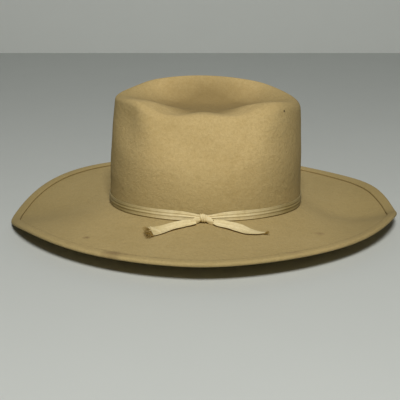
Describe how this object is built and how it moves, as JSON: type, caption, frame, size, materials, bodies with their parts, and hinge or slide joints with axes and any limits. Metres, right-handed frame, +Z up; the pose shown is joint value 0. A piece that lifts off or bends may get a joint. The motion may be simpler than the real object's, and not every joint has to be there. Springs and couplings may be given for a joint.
{
  "type": "cowboy hat",
  "caption": "Felt cowboy hat with a dented teardrop crown, a wide brim with a folded welted edge and a narrow ribbon band tied in a bow at the side.",
  "frame": {"origin": "centre of the brim's outline, on the surface the hat rests on", "axes": "+Z up, -X to the front of the hat, +X to the back, -Y to the wearer's left side with the bow"},
  "size_m": [0.415, 0.374, 0.1486],
  "materials": {
    "felt": "matte fur felt, olive tan",
    "ribbon": "silky ribbon, pale gold",
    "ribbon_thread": "cotton thread, tan",
    "welt_thread": "cotton thread, tan",
    "leather": "tan leather, worn smooth",
    "reed": "natural plastic",
    "tape": "woven cotton tape, brown",
    "sweatband_thread": "waxed thread, pale",
    "bow_ribbon": "narrow ribbon, brown",
    "tag": "plain paper tag",
    "satin": "satin lining, cream",
    "piping": "satin piping, tan",
    "clear": "clear flexible plastic"
  },
  "bodies": {
    "hat": {"felt_body": "felt", "welt_stitching": "welt_thread", "ribbon_band": "ribbon", "ribbon_knot": "ribbon", "ribbon_tacks": "ribbon_thread", "sweatband": "leather", "sweatband_reed": "reed", "reed_tape": "tape", "sweatband_stitching": "sweatband_thread", "sweatband_seam_stitches": "sweatband_thread", "sweatband_seam_tape": "tape", "sweatband_bow": "bow_ribbon", "size_tag": "tag", "lining_side": "satin", "lining_tip": "satin", "lining_piping": "piping", "tip_protector": "clear"},
    "front_tail": {"ribbon_tail_front": "ribbon"},
    "back_tail": {"ribbon_tail_back": "ribbon"}
  },
  "joints": [
    {"name": "front_tail_lift", "type": "hinge", "parent": "hat", "child": "front_tail", "pos_m": [-0.00995, -0.09123, 0.02711], "axis": [-0.3049, 0.9524, 0], "range_deg": [0, 82]},
    {"name": "back_tail_lift", "type": "hinge", "parent": "hat", "child": "back_tail", "pos_m": [0.01128, -0.0914, 0.02698], "axis": [-0.3777, -0.9259, 0], "range_deg": [0, 82]}
  ]
}
